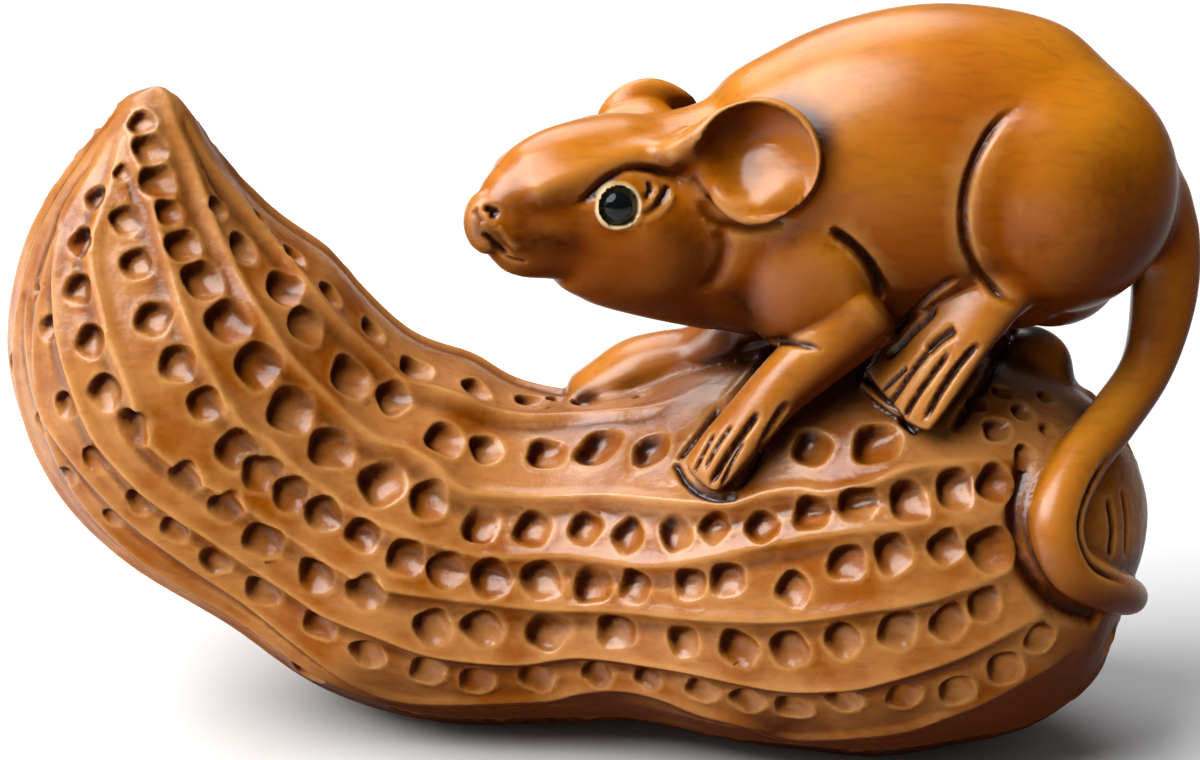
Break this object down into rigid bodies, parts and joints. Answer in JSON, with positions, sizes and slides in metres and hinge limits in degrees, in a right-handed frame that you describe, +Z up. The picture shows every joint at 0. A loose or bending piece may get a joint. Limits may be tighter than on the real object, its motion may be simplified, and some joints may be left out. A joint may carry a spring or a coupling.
{
  "type": "rat figurine",
  "caption": "Carved boxwood rat crouching on a ribbed peanut pod, its tail hooked over the pod's end, with inlaid black bead eyes.",
  "frame": {"origin": "under the middle of the carving's box, on the plane that the peanut rests on", "axes": "+X along the peanut from its raised tip to its right end, +Y away from the side that shows, +Z up"},
  "size_m": [0.0664, 0.0268, 0.042],
  "materials": {
    "boxwood": "stained orange brown, dark in the recesses, under a glossy polish",
    "black_bead": "polished black bead"
  },
  "bodies": {
    "root": {"carving": "boxwood", "left_eye": "black_bead", "right_eye": "black_bead"}
  },
  "joints": []
}
